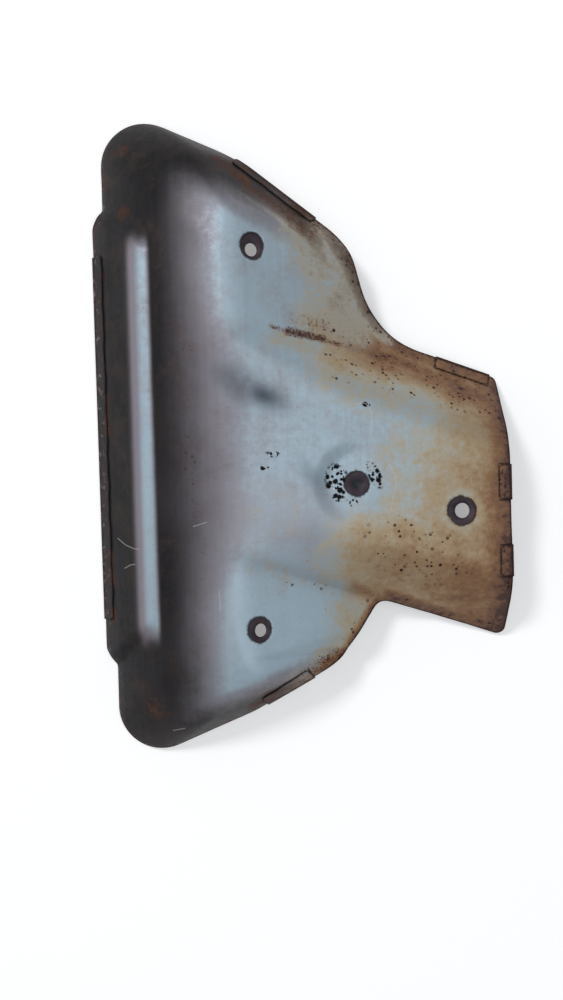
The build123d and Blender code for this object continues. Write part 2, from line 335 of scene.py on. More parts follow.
blank_spacing = 1.25
outline = rounded_outline(outline_corners, blank_spacing)
place = np.arange(len(outline)) * blank_spacing
nibble = 0.18
for depth, length, start in ((0.1, 23, 0), (0.05, 7.1, 0), (0.03, 3.3, 1)):
    nibble = nibble + depth * np.sin(place / length + start)
outline = moved_inward(outline, nibble)
print("outline:", len(outline), "points,", round(len(outline) * blank_spacing), "mm round")

# %% [markdown]
# ## The holes
#
# The outer sheet has four windows, and behind three of them the inner sheet has a smaller bolt hole. From
# above, holes in the sloping lobes look narrower, so they are squeezed in x. Rust has frayed them, so
# each ring wanders a little.

# %% Windows and bolt holes


def ring(spacing, centre, radius, squash, fray, seed):
    """Points round a hole, narrower in x where the face slopes, its edge eaten away by the fray."""
    count = ceil(2 * pi * radius / spacing)
    angles = np.linspace(0, 2 * pi, count, endpoint=False)
    wander = sum(np.sin(angles * k + seed * k * k) / k for k in (2, 3, 5, 8))
    reach = radius + fray * wander
    offset = np.column_stack([squash * reach * np.cos(angles), reach * np.sin(angles)])
    return np.array(centre) + offset


# Centre, radius, squeeze in x, fray and seed of each hole.
windows = {
    "upper": ((-21.6, 94.7), 7.0, 0.86, 0.25, 1.3),
    "lower": ((-24.3, -105.4), 6.7, 0.88, 0.2, 2.1),
    "neck": ((84.8, -47.2), 7.6, 1.0, 0.4, 0.7),
    "seat": (seat, 6.4, 1.0, 0.25, 3.9),
}
bolt_holes = {
    "upper": ((-21.9, 92.8), 3.5, 0.88, 0.05, 0.4),
    "lower": ((-23.5, -105.8), 3.5, 0.84, 0.05, 1.7),
    "neck": ((85.2, -47.2), 4.0, 1.0, 0.05, 2.6),
}
print(len(windows), "windows and", len(bolt_holes), "bolt holes")

# %% [markdown]
# ## Cutting the blank
#
# The blank is a net of small triangles. Delaunay triangulation keeps the outline and the holes as fixed
# lines and fills the inside from a staggered grid, so edges are clean and the net is even. A boolean cut
# would leave long thin faces that shade badly once the sheet is curved.

# %% Cutting the blank


def within(points, loop):
    """True for each point inside a closed loop, by counting the edges that a ray to the right crosses."""
    x, y = points[:, 0, None], points[:, 1, None]
    a, b = loop, np.roll(loop, -1, axis=0)
    spans = (a[:, 1] > y) != (b[:, 1] > y)
    rise = np.where(b[:, 1] == a[:, 1], 1, b[:, 1] - a[:, 1])
    crossing = a[:, 0] + (y - a[:, 1]) * (b[:, 0] - a[:, 0]) / rise
    return (spans & (x < crossing)).sum(axis=1) % 2 == 1


def fill_points(border, loops, spacing):
    """A staggered grid of points inside the border, none of them close to a loop."""
    low, high = border.min(axis=0), border.max(axis=0)
    columns = np.arange(low[0], high[0], spacing)
    rows = np.arange(low[1], high[1], spacing * sqrt(3) / 2)
    grid = np.array([(x + spacing / 2 * (row % 2), y) for row, y in enumerate(rows) for x in columns])
    grid = grid[within(grid, border)]
    clearance, chunk_size = 0.62 * spacing, 40
    for loop in loops:
        nearest = np.full(len(grid), np.inf)
        for chunk in np.array_split(loop, max(1, len(loop) // chunk_size)):
            gaps = np.linalg.norm(grid[:, None] - chunk[None], axis=2).min(axis=1)
            nearest = np.minimum(nearest, gaps)
        grid = grid[nearest > clearance]
    return grid


def cut_blank(border, holes, spacing):
    """Plan points and triangles of a flat blank with its holes."""
    loops = [border] + holes
    edges, base = [], 0
    for loop in loops:
        count = len(loop)
        edges += [(base + i, base + (i + 1) % count) for i in range(count)]
        base += count
    points = np.vstack(loops + [fill_points(border, loops, spacing)])
    same_point = 1e-5
    result = delaunay_2d_cdt([Vector(p) for p in points], edges, [], 0, same_point)
    plan = np.array([tuple(v) for v in result[0]])
    triangles = np.array([f for f in result[2] if len(f) == 3])
    middle = plan[triangles].mean(axis=1)
    keep = within(middle, border)
    for hole in holes:
        keep &= ~within(middle, hole)
    triangles = triangles[keep]
    used = np.unique(triangles)
    renumber = np.full(len(plan), -1)
    renumber[used] = np.arange(len(used))
    return plan[used], renumber[triangles]


window_spacing, bolt_spacing, inner_spacing = 0.8, 0.5, 2.4
window_rings = [ring(window_spacing, *facts) for facts in windows.values()]
bolt_rings = [ring(bolt_spacing, *facts) for facts in bolt_holes.values()]
outer_plan, outer_triangles = cut_blank(outline, window_rings, blank_spacing)
inner_plan, inner_triangles = cut_blank(outline, bolt_rings, inner_spacing)
print("outer blank:", len(outer_triangles), "triangles; inner blank:", len(inner_triangles))

# %% [markdown]
# ## Pressing and thickness
#
# Pressing lifts each point to the tool's height. The inner sheet is moved back along the normal, which
# keeps the gap even on steep walls. A Solidify modifier gives each sheet its half millimetre, with real
# edges round the rim and the holes.

# %% Pressing a blank


def normals_at(x, y, height):
    """Unit normals of a height surface over the plan."""
    step = 0.05
    east = (height(x + step, y) - height(x - step, y)) / (2 * step)
    north = (height(x, y + step) - height(x, y - step)) / (2 * step)
    normal = np.column_stack([-east, -north, np.ones_like(east)])
    return normal / np.linalg.norm(normal, axis=1)[:, None]


def blob(x, y, centre, size, turn=0.0):
    """Soft oval spot, 1 at its centre, with its size along and across and its turn in degrees."""
    along, across = turned(x, y, centre, radians(turn))
    return np.exp(-((along / size[0]) ** 2) - (across / size[1]) ** 2)


dent_depth, wave_depth, set_back = 1.5, 0.12, 0.15


def dented_face(x, y):
    """The show face with a shallow dent above the crown and small waves from handling."""
    dent = dent_depth * blob(x, y, (-25.0, 18.5), (17.0, 7.5), -25)
    waves = wave_depth * np.sin(x / 13.0 + np.sin(y / 19.0)) * np.sin(y / 17.0 + 1.3)
    return show_face(x, y) - dent - set_back + waves


def make_mesh(name, points, faces):
    """A mesh object from points in millimetres."""
    mesh = bpy.data.meshes.new(name)
    mesh.from_pydata((np.asarray(points) * MM).tolist(), [], np.asarray(faces).tolist())
    mesh.update()
    piece = bpy.data.objects.new(name, mesh)
    bpy.context.scene.collection.objects.link(piece)
    mesh.shade_smooth()
    return piece


def thicken(piece, offset):
    """Gives a skin its sheet thickness: backward at offset -1, to both sides at 0."""
    solid = piece.modifiers.new("sheet", "SOLIDIFY")
    solid.thickness = sheet * MM
    solid.offset = offset
    solid.use_even_offset = True
    bpy.context.view_layer.objects.active = piece
    bpy.ops.object.modifier_apply(modifier=solid.name)


def press(name, plan, triangles, depth, height):
    """Lifts a blank to the tool's height, moves it back by a depth along the normal and thickens it."""
    x, y = plan[:, 0], plan[:, 1]
    skin = np.column_stack([x, y, height(x, y)]) - normals_at(x, y, height) * depth
    piece = make_mesh(name, skin, triangles)
    thicken(piece, -1)
    print(name, len(piece.data.polygons), "faces after thickening")
    return piece


outer_skin = press("outer_skin", outer_plan, outer_triangles, 0.0, dented_face)

dimple_depth, dimple_rim, dimple_wall = 2.0, 3.6, 1.2


def dimpled_face(x, y):
    """The inner sheet's face: as the outer one, with a small blind dimple under the seat's window."""
    away = np.hypot(x - seat[0], y - seat[1])
    dimple = dimple_depth * np.clip((dimple_rim - away) / dimple_wall, 0, 1) ** 0.8
    return dented_face(x, y) - dimple


inner_skin = press("inner_skin", inner_plan, inner_triangles, sheet + nest_gap, dimpled_face)

# %% [markdown]
# ## Folding the tabs
#
# A tab is a strip of the inner sheet that bends round the outer sheet's edge and lies on the show face.
# It is a grid: stations along the edge, and across it a path out, round and back in. A bevelled curve
# could make the bend, but a grid follows the curved face under it at every station.

# %% Tabs folded over the edges
hem_edge = ((bead_rim_x, -bead_half_length), (bead_rim_x, bead_half_length))

# The edge that each tab is folded over, where on it the tab starts, its length and its width.
tabs = {
    "hem": (hem_edge, 17.0, 204.0, 6.0),
    "upper lobe": ((upper_shoulder, upper_elbow), 12.4, 54.9, 4.6),
    "ledge": ((upper_root, upper_neck), 37.0, 32.0, 6.7),
    "neck end": ((upper_neck, lower_neck), 49.6, 19.0, 6.5),
    "neck far end": ((upper_neck, lower_neck), 92.6, 17.0, 6.5),
    "lower lobe": ((lower_elbow, lower_shoulder), 18.4, 30.7, 7.0),
}

over_lift, under_lift = tab_gap + sheet / 2, -nest_gap - 1.5 * sheet
bend_middle, bend_half = (over_lift + under_lift) / 2, (over_lift - under_lift) / 2
tab_round = 1.6


def edge_frame(edge):
    """An edge's first point, its direction and the direction inward."""
    first, last = np.array(edge[0]), np.array(edge[1])
    run = (last - first) / np.linalg.norm(last - first)
    return first, run, np.array((run[1], -run[0]))


def folded_tab(name, edge, start, length, width):
    """One tab as a thickened grid that wraps round an edge of the outer sheet."""
    first, run, inward = edge_frame(edge)
    stations = np.linspace(0, length, max(8, round(length / 1.5)))
    reach = width + 0.25 * np.sin(stations / 4.7 + start) + 0.15 * np.sin(stations / 1.9)
    corner = np.minimum(stations, length - stations)
    reach -= tab_round * np.clip(1 - corner / tab_round, 0, 1) ** 2
    on_edge = first + np.outer(start + stations, run)
    flatness = normals_at(on_edge[:, 0], on_edge[:, 1], dented_face)[:, 2]
    under = [(step * flatness, under_lift) for step in (3.0, 1.5, 0.4)]
    turns = np.linspace(0, pi, 9)
    bend = [((0.1 - 0.45 * sin(turn)) * flatness, bend_middle - bend_half * cos(turn)) for turn in turns]
    over = [(reach * share, over_lift) for share in (0.12, 0.3, 0.5, 0.7, 0.9, 1.0)]
    columns = []
    for distance, lift in under + bend + over:
        spot = on_edge + np.outer(distance, inward)
        normal = normals_at(spot[:, 0], spot[:, 1], dented_face)
        columns.append(np.column_stack([spot, dented_face(spot[:, 0], spot[:, 1])]) + normal * lift)
    rows, count = len(columns), len(stations)
    points = np.vstack(columns)
    faces = [
        (i * count + j, i * count + j + 1, (i + 1) * count + j + 1, (i + 1) * count + j)
        for i in range(rows - 1)
        for j in range(count - 1)
    ]
    piece = make_mesh("tab " + name, points, faces)
    thicken(piece, 0)
    return piece


tab_pieces = [folded_tab(name, *facts) for name, facts in tabs.items()]
skin_faces = len(inner_skin.data.polygons)
with bpy.context.temp_override(
    active_object=inner_skin, selected_editable_objects=[inner_skin] + tab_pieces
):
    bpy.ops.object.join()
print("inner sheet with tabs:", len(inner_skin.data.polygons), "faces")

for piece, node in ((outer_skin, "outer_sheet"), (inner_skin, "inner_sheet")):
    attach(piece, "root")
    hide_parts(node)

# %% [markdown]
# ## Where the heat and the weather have been
#
# Use has painted the shield: its middle stays blue-grey, the neck is straw to brown, and rust starts in
# folds and along edges. The steep walls are dark, partly with scale and partly with painted shade and
# reflection, and some pale faces carry painted highlights. Each of these is a mask, a number from 0 to 1
# on every vertex, worked out from its place. An image could hold the same, but masks follow the form
# exactly.
# Each row below is one mark, with its strength and place, and the strongest counts.

# %% Brushes for painting masks


def distance_to(x, y, route):
    """Distance from each point to a route of straight runs."""
    nearest = np.full(np.shape(x), np.inf)
    for (ax, ay), (bx, by) in zip(route[:-1], route[1:]):
        dx, dy = bx - ax, by - ay
        share = np.clip(((x - ax) * dx + (y - ay) * dy) / (dx * dx + dy * dy), 0, 1)
        nearest = np.minimum(nearest, np.hypot(x - ax - share * dx, y - ay - share * dy))
    return nearest


def stroke(x, y, route, width):
    """Soft brush stroke along a route."""
    return np.exp(-((distance_to(x, y, route) / width) ** 2))


upper_valley = [(-12.0, 52.5), (14.0, 47.0), (55.6, 34.6), (83.0, 24.4), (112.0, 10.0)]
upper_edges = [
    (-70.0, 172.0), upper_shoulder, (18.0, 112.0), (33.0, 90.0), (42.0, 66.0), (58.0, 50.0), upper_neck,
]
lower_edges = [lower_neck, lower_root, lower_elbow, lower_shoulder, (-60.0, -168.0)]

# %% [markdown]
# ## Tones of the bare steel, with painted reflection
#
# The steep walls are nearly black and the flat faces are pale. Part of this is scale, and part is painted
# reflection: dark where a steep wall would mirror the dim room beside it, pale where a flat face would
# mirror the bright ceiling. A pinkish line of painted reflection runs along the bead's corner. 1 is the
# darkest wall and 0 the palest face.

# %% Tones of the bare steel, with painted reflection


def bead_place(x, y):
    """Distance across the bead from its corner, and a mask of its length that fades at both ends."""
    corner = bead_rim_x + (bead_height + bead_taper * y) / bead_wall_slope
    slant = 1.2 - 0.015 * y
    return x - corner - slant, band(np.abs(y + 2.5), 98.0, 116.0)


def scale_and_painted_reflection(x, y):
    """How dark the face is: scale, with painted shade on the steep walls and painted highlights on the
    flats.
    """
    upper = inside(x, y, (lobe_rim_x, upper_tip_y), upper_shoulder)
    lower = inside(x, y, lower_shoulder, (lobe_rim_x, lower_tip_y))
    side_fade = 48 - 16 * ramp(np.abs(y + 8), 35, 85)
    # Darkest on the steep walls and the ends: scale, and painted shade where a wall would mirror the dim
    # room.
    shades = [1 - (x + 72) / side_fade, 1 - (upper - 19) / 23, 1 - (lower - 9) / 14]
    tone = np.clip(sum(np.clip(shade, 0, 1.2) ** 3 for shade in shades) ** (1 / 3), 0, 1)
    tone -= 0.12 * blob(x, y, (-66, -162), (30, 16), -25) + 0.1 * band(x, -106, -101)
    tone *= 1 - ramp(x, -20, 30)
    across_bead, bead_length = bead_place(x, y)
    shelf = ramp(across_bead, -8.0, 1.0) * band(across_bead, 5.6, 9.4) * bead_length
    # The bead's shelf is made pale: a painted reflection of the bright ceiling.
    tone *= 1 - shelf
    along, across = turned(x, y, axis, axis_angle)
    lobe = ramp(np.abs(across + 4), 42, 62) * ramp(x, -54, -30)
    crown = ramp(along, -80, -20) * band(np.abs(across), 30, 45)
    low_lobe = ramp(-y, 70, 115) * ramp(x, -62, -40)
    crest_highlight = stroke(x, y, [(-35, 116), (-33, 58)], 5) + stroke(x, y, [(-32, -80), (-30, -122)], 5)
    # Painted highlight: the lobes, the crown, the lower lobe, the two crests and the bead's shelf are
    # made paler where light would fall on them. The blob below is a painted shadow.
    painted_highlight = 0.07 * lobe + 0.05 * crown + 0.07 * low_lobe + 0.06 * crest_highlight + 0.1 * shelf * ramp(-y, -110, 60)
    shadow = 0.1 * blob(x, y, (-48, 106), (9, 13))
    flat_tone, wall_gain = 0.1, 0.88
    return flat_tone + wall_gain * tone - painted_highlight + shadow


def lavender_tint_and_corner_reflection(x, y):
    """A pinkish line of painted reflection along the bead's corner, and a pinkish haze on the slope
    behind it.
    """
    across_bead, bead_length = bead_place(x, y)
    corner_reflection = np.exp(-(((across_bead + 1.8) / 2.4) ** 2)) * bead_length
    haze = 0.3 * stroke(x, y, [(-52, 110), (-46, -110)], 15)
    bloom = 0.5 * blob(x, y, (-12, -48), (46, 22), -15)
    return np.maximum.reduce([corner_reflection, haze, bloom])


print("tone on the crown:", at(scale_and_painted_reflection, 20.0, -10.0))

# %% [markdown]
# ## Temper colours
#
# Steel in air turns straw, tan and brown as it gets hotter. The neck sat nearest to the exhaust, so the
# colour deepens towards its open end, along the valley beside it and on its lower side. The lobes' edges
# are scorched to a colder, greyer brown, darkest beside the tabs.

# %% Temper colours


def temper_colour(x, y):
    """How far the temper has gone: straw at 0.3, tan at 0.5, brown at 0.75 and dark brown at 1."""
    along, across = turned(x, y, axis, axis_angle)
    upper, lower = distance_to(x, y, upper_edges), distance_to(x, y, lower_edges)
    low_side = ramp(-across, 6, 40) * np.maximum(band(-across, 62, 72), ramp(x, 34, 46))
    neck_window = np.hypot(x - windows["neck"][0][0], y - windows["neck"][0][1])
    halo = 0.3 * np.exp(-(((neck_window - 9.5) / 3.0) ** 2))
    return (1 - halo) * np.maximum.reduce([
        0.66 * ramp(along, -34, 80) + 0.42 * ramp(x + 0.05 * np.abs(across), 94, 117),
        0.6 * ramp(along, -38, 26) * low_side + 0.2 * ramp(along, 36, 72) * low_side,
        0.8 * stroke(x, y, upper_valley, 17) * ramp(x, -8, 44),
        0.48 * stroke(x, y, upper_valley, 30) * ramp(x, -14, 26),
        0.28 * stroke(x, y, [(-12, 47), (24, 37)], 8),
        0.88 * band(upper, 6, 24) * ramp(x, 34, 56),
        0.92 * band(lower, 3, 15) * ramp(x, 28, 48),
        0.8 * band(lower, 1, 8) * ramp(x, -24, 4),
        0.3 * band(lower, 6, 40) * ramp(x, -14, 24),
        0.13 * blob(x, y, (-14, -46), (36, 22), -15),
        0.72 * stroke(x, y, [(28, -87), (44, -93)], 7),
        0.6 * blob(x, y, (56, -60), (19, 13), -20),
    ])


def scorched_edge_and_valley_shade(x, y):
    """Grey-brown scorching along the lobes' edges, and a line of painted shade along the lower valley."""
    upper, lower = distance_to(x, y, upper_edges), distance_to(x, y, lower_edges)
    beside_tab = ramp(x, -62, -40) * band(x, 4, 26)
    return np.maximum.reduce([
        band(upper, 9, 22) * beside_tab,
        0.7 * band(upper, 2, 13) * ramp(x, 0, 20) * band(x, 42, 60),
        0.3 * band(upper, 14, 42) * ramp(x, -24, 2) * band(x, 30, 50),
        0.42 * blob(x, y, (13, 92), (12, 8), -30),
        0.44 * band(lower, 4, 16) * ramp(x, -50, -28) * band(x, -10, 14),
        # Painted shade: a grey-brown line where the lower valley lies in shade.
        0.2 * stroke(x, y, [(-26, -70), (0, -80), (24, -90)], 8),
    ])


print("temper at the neck's end:", at(temper_colour, 108.0, -40.0))

# %% [markdown]
# ## Rust and soot
#
# Water stands in the valley and under the folded tabs, so rust starts there. It also lies in broken
# lengths along the hem and spots the dark walls. Soot has eaten pits beside the seat.

# %% Rust and soot
trimmed_edge = rounded_outline(outline_corners, 4.0)
trimmed_edge = [tuple(point) for point in trimmed_edge] + [tuple(trimmed_edge[0])]


def rust_depth(x, y):
    """How far rust has gone."""
    hem_line = bead_rim_x + tabs["hem"][3]
    lengths = ramp(np.sin(y / 17.0 + 0.6) + 0.8 * np.sin(y / 6.3) + 0.5 * np.sin(y / 2.7), 0.1, 1.1)
    return np.maximum.reduce([
        1.0 * stroke(x, y, [(-4, 50.8), (14, 47.2)], 3.0),
        0.7 * stroke(x, y, [(-13, 52.8), (24, 44)], 2.2),
        0.34 * stroke(x, y, [(0, 56), (20, 53)], 7),
        0.5 * stroke(x, y, [(28, 43), (44, 39), (62, 32), (88, 24)], 4.5),
        0.75 * stroke(x, y, [(hem_line, -102), (hem_line, 102)], 1.6) * lengths,
        0.6 * stroke(x, y, [(-30, -152), (16, -123)], 6),
        0.55 * stroke(x, y, [(-40, 146), (10, 105)], 6),
        0.5 * stroke(x, y, [(-36, 155), (28, 103)], 4),
        0.55 * stroke(x, y, trimmed_edge, 2.4),
        0.5 * blob(x, y, (-92, 122), (9, 7)),
        0.45 * blob(x, y, (-90, 160), (12, 9)),
        0.42 * blob(x, y, (-104, 140), (4, 14)),
        0.42 * blob(x, y, (-55, -70), (9, 12)),
        0.35 * blob(x, y, (-80, -150), (16, 12)),
        0.3 * blob(x, y, (-60, 40), (10, 24)),
    ])


def soot_pits(x, y):
    """Where the pits are."""
    return np.maximum.reduce([
        blob(x, y, (19, -30.5), (6, 9.5), 10),
        blob(x, y, (38.5, -27), (3, 7), 25),
        blob(x, y, (-15, -14.5), (4, 1.4)),
        blob(x, y, (-18, -21.5), (3.2, 1.4)),
        blob(x, y, (35, 10), (2.2, 1.2), -20),
        blob(x, y, (27, -41), (2, 2)),
    ])


print("rust in the upper valley:", at(rust_depth, 5.0, 49.0))

# %% [markdown]
# ## Painting the masks
#
# Trimmed edges and the windows' rims are darkened, and painted shadow lines run along each tab's border.
# Painted shade darkens the dent, the seat's dish and the lower valley, and specks lie thickest by the
# valley and on the neck. Each mask is stored as an attribute that the materials read.

# %% Painting the masks


def tab_border(edge, start, length, width):
    """Route round a tab's three free sides, in the plan."""
    first, run, inward = edge_frame(edge)
    near, far = first + run * start, first + run * (start + length)
    return [near, near + inward * width, far + inward * width, far]


def finish_masks(x, y):
    """Every mask of the show face at points of the plan."""
    rim = distance_to(x, y, trimmed_edge)
    hole_edge = np.minimum.reduce([
        np.abs(np.hypot((x - centre[0]) / squash, y - centre[1]) - radius)
        for centre, radius, squash, _, _ in windows.values()
    ])
    # Painted shadow lines along the tabs' borders, where each folded tab would shade the face beside it.
    seam = np.minimum.reduce([distance_to(x, y, tab_border(*facts)) for facts in tabs.values()])
    darkened_lines = ((rim, 1.4), (hole_edge, 0.6), (seam, 0.6))
    dark_edges_and_seam_shadow = [np.exp(-((away / width) ** 2)) for away, width in darkened_lines]
    # Painted shade: darker in the dent, on the left of the seat's dish and along the lower valley, where
    # shade falls.
    painted_shade = np.maximum.reduce([
        blob(x, y, (-18, 16), (12, 6), -25),
        0.6 * blob(x, y, (-31, 22), (15, 9), -25),
        0.38 * blob(x, y, (5, -26), (4.5, 9), 35),
        0.2 * stroke(x, y, [(-34, -67), (-6, -76), (24, -88)], 5),
    ])
    specks = np.maximum.reduce([
        stroke(x, y, upper_valley, 12) * ramp(x, 0, 20),
        0.8 * stroke(x, y, [(22, 27), (58, 20), (95, 8)], 6),
        0.9 * blob(x, y, (60, -68), (34, 18), -20),
        0.42 * blob(x, y, (-58, -20), (12, 60)),
        0.6 * blob(x, y, (0, -84), (22, 7), -20),
        0.5 * band(rim, 4, 14) * ramp(x, -40, 10),
    ])
    return {
        "wall": scale_and_painted_reflection(x, y),
        "lavender_and_corner_reflection": lavender_tint_and_corner_reflection(x, y),
        "temper": temper_colour(x, y),
        "scorch_and_valley_shade": scorched_edge_and_valley_shade(x, y),
        "rust": rust_depth(x, y),
        "painted_shade": painted_shade,
        "soot": soot_pits(x, y),
        "specks": specks,
        "rim": np.maximum.reduce(dark_edges_and_seam_shadow),
        "nicks": np.exp(-((rim / 4.5) ** 2)) * band(x, -107, -102),
    }


def paint(piece):
    """Writes the masks as attributes on a piece's vertices."""
    mesh = piece.data
    flat = np.empty(len(mesh.vertices) * 3)
    mesh.vertices.foreach_get("co", flat)
    spots = flat.reshape(-1, 3) / MM
    for name, values in finish_masks(spots[:, 0], spots[:, 1]).items():
        attribute = mesh.attributes.new(name, "FLOAT", "POINT")
        attribute.data.foreach_set("value", values.astype(np.float32))


paint(outer_skin)
paint(inner_skin)
print("masks on", len(outer_skin.data.vertices), "and", len(inner_skin.data.vertices), "vertices")

# %% [markdown]
# ## Building a material from nodes
#
# A node material is a chain: each layer of colour lies over the one before, and a factor says where.
# These helpers make one node each and join it up, so the recipes below read from the bare metal outward.

# %% Tools for values and colours


def linear(red, green, blue):
    """A colour as seen on a screen, 0 to 255, turned into the linear light that shaders use."""
    parts = [c / 255 for c in (red, green, blue)]
    return tuple(c / 12.92 if c < 0.04 else ((c + 0.055) / 1.055) ** 2.4 for c in parts) + (1.0,)


def feed(tree, node, inputs):
    """Sets or links a node's inputs."""
    for key, value in inputs.items():
        if isinstance(value, bpy.types.NodeSocket):
            tree.links.new(value, node.inputs[key])
        else:
            node.inputs[key].default_value = value


def put(tree, kind, inputs, **settings):
    """One node, with its settings made and its inputs fed."""
    made = tree.nodes.new(kind)
    for name, value in settings.items():
        setattr(made, name, value)
    feed(tree, made, inputs)
    return made


def mask(tree, name):
    """A painted mask of the piece."""
    return put(tree, "ShaderNodeAttribute", {}, attribute_name=name).outputs["Fac"]


def remap(tree, value, low, high, to_low=0.0, to_high=1.0):
    """A smooth ramp between two values."""
    inputs = {"Value": value, "From Min": low, "From Max": high, "To Min": to_low, "To Max": to_high}
    return put(tree, "ShaderNodeMapRange", inputs, interpolation_type="SMOOTHSTEP").outputs["Result"]


def calc(tree, operation, a, b, clamp=False):
    """Arithmetic on two values."""
    return put(tree, "ShaderNodeMath", {0: a, 1: b}, operation=operation, use_clamp=clamp).outputs[0]


def times(tree, first, *others):
    """Values multiplied together."""
    for other in others:
        first = calc(tree, "MULTIPLY", first, other)
    return first


def vector(tree, operation, inputs, result=0):
    """Arithmetic on vectors."""
    return put(tree, "ShaderNodeVectorMath", inputs, operation=operation).outputs[result]


def layer(tree, factor, under, over):
    """One colour laid over another."""
    return put(tree, "ShaderNodeMix", {"Factor": factor, 6: under, 7: over}, data_type="RGBA").outputs[2]


def colour_scale(tree, value, stops):
    """A colour that changes with a value, from stops given as screen colours."""
    scale = put(tree, "ShaderNodeValToRGB", {0: value})
    marks = scale.color_ramp.elements
    while len(marks) < len(stops):
        marks.new(0.5)
    for mark, (position, colour) in zip(marks, stops.items()):
        mark.position = position
        mark.color = linear(*colour)
    return scale.outputs[0]


print("screen grey 128 is", round(linear(128, 128, 128)[0], 3), "in linear light")

# %% [markdown]
# ## Textures that break up the masks
#
# Masks alone look airbrushed. Noise at several sizes pushes each mask up and down, so its border turns
# ragged. Voronoi cells make round pits and specks, and the distance to a route makes a scratch. All are
# measured on the object itself, so nothing slides when the view changes.

# %% Textures that break up the masks


def place_of(tree, stretch=(1, 1, 1)):
    """The point on the object, in metres, with each axis stretched."""
    spot = put(tree, "ShaderNodeTexCoord", {}).outputs["Object"]
    return put(tree, "ShaderNodeMapping", {"Vector": spot, "Scale": stretch}).outputs["Vector"]


def cloud(tree, scale, detail=4.0, roughness=0.55, stretch=(1, 1, 1)):
    """Noise from 0 to 1, its features about 1/scale metres wide."""
    inputs = {"Vector": place_of(tree, stretch), "Scale": scale, "Detail": detail, "Roughness": roughness}
    return put(tree, "ShaderNodeTexNoise", inputs).outputs["Fac"]


def spread_of(tree, texture, reach):
    """A texture turned into a push up or down of up to half the reach."""
    return times(tree, calc(tree, "SUBTRACT", texture, 0.5), reach)


def broken(tree, value, textures):
    """A value pushed up and down by several textures, each with its own reach."""
    for texture, reach in textures:
        value = calc(tree, "ADD", value, spread_of(tree, texture, reach))
    return value


def dots(tree, scale, size, share):
    """Scattered round spots: size is their share of a cell, and share says how many cells have one."""
    cells = put(tree, "ShaderNodeTexVoronoi", {"Vector": place_of(tree), "Scale": scale})
    pick = put(tree, "ShaderNodeSeparateColor", {0: cells.outputs["Color"]}).outputs
    radius = remap(tree, pick[1], 0.0, 1.0, size * 0.4, size)
    ball = remap(tree, calc(tree, "DIVIDE", cells.outputs["Distance"], radius), 1.0, 0.65)
    return times(tree, ball, calc(tree, "LESS_THAN", pick[0], share))


def scratch(tree, route, width):
    """A hairline along a route in the plan, in millimetres."""
    spot = place_of(tree, (1, 1, 0))
    nearest = 1.0
    for start, end in zip(route[:-1], route[1:]):
        origin = Vector((*start, 0)) * MM
        run = Vector((*end, 0)) * MM - origin
        away = vector(tree, "SUBTRACT", {0: spot, 1: origin})
        dot = vector(tree, "DOT_PRODUCT", {0: away, 1: run}, "Value")
        share = calc(tree, "DIVIDE", dot, run.length_squared, True)
        foot = vector(tree, "SCALE", {0: run, "Scale": share})
        gap = vector(tree, "DISTANCE", {0: away, 1: foot}, "Value")
        nearest = calc(tree, "MINIMUM", nearest, gap)
    return remap(tree, nearest, width * MM, 0.3 * width * MM)


def bare_material(name):
    """An empty node material, its tree and its shader."""
    material = bpy.data.materials.new(name)
    material.use_nodes = True
    return material, material.node_tree, material.node_tree.nodes["Principled BSDF"]


scratches = [
    [(29, 10.3), (34.8, 10.6), (37.8, 6.0), (38.0, 1.5), (36.9, -5.9)],
    [(46.5, -21.3), (49.4, -27.5), (49.9, -32.8), (47.6, -39.5), (46.8, -45.3)],
    [(-102.0, -56.4), (-97.0, -60.0), (-92.0, -61.9), (-88.7, -62.3)],
    [(-98.0, -72.8), (-94.5, -71.0), (-91.5, -70.4)],
    [(-57.2, -50.6), (-50.2, -48.6)],
    [(-44.6, -84.4), (-44.4, -94.8)],
    [(-74.2, -162.4), (-67.5, -160.8)],
]
print(len(scratches), "scratches")

# %% [markdown]
# ## The colours of heat, with painted light
#
# From the metal outward: wall tones from pale blue-grey to nearly black, which are scale and painted
# reflection, a pinkish line of painted reflection on the bead, straw and brown temper colours, scorched
# edges, and painted shade in the dent, the dish and the lower valley. On the dark walls only the
# strongest scorching shows. A gate closes each colour where its mask is zero, so the noise makes no stray
# patches.

# %% The colours of heat, with painted light


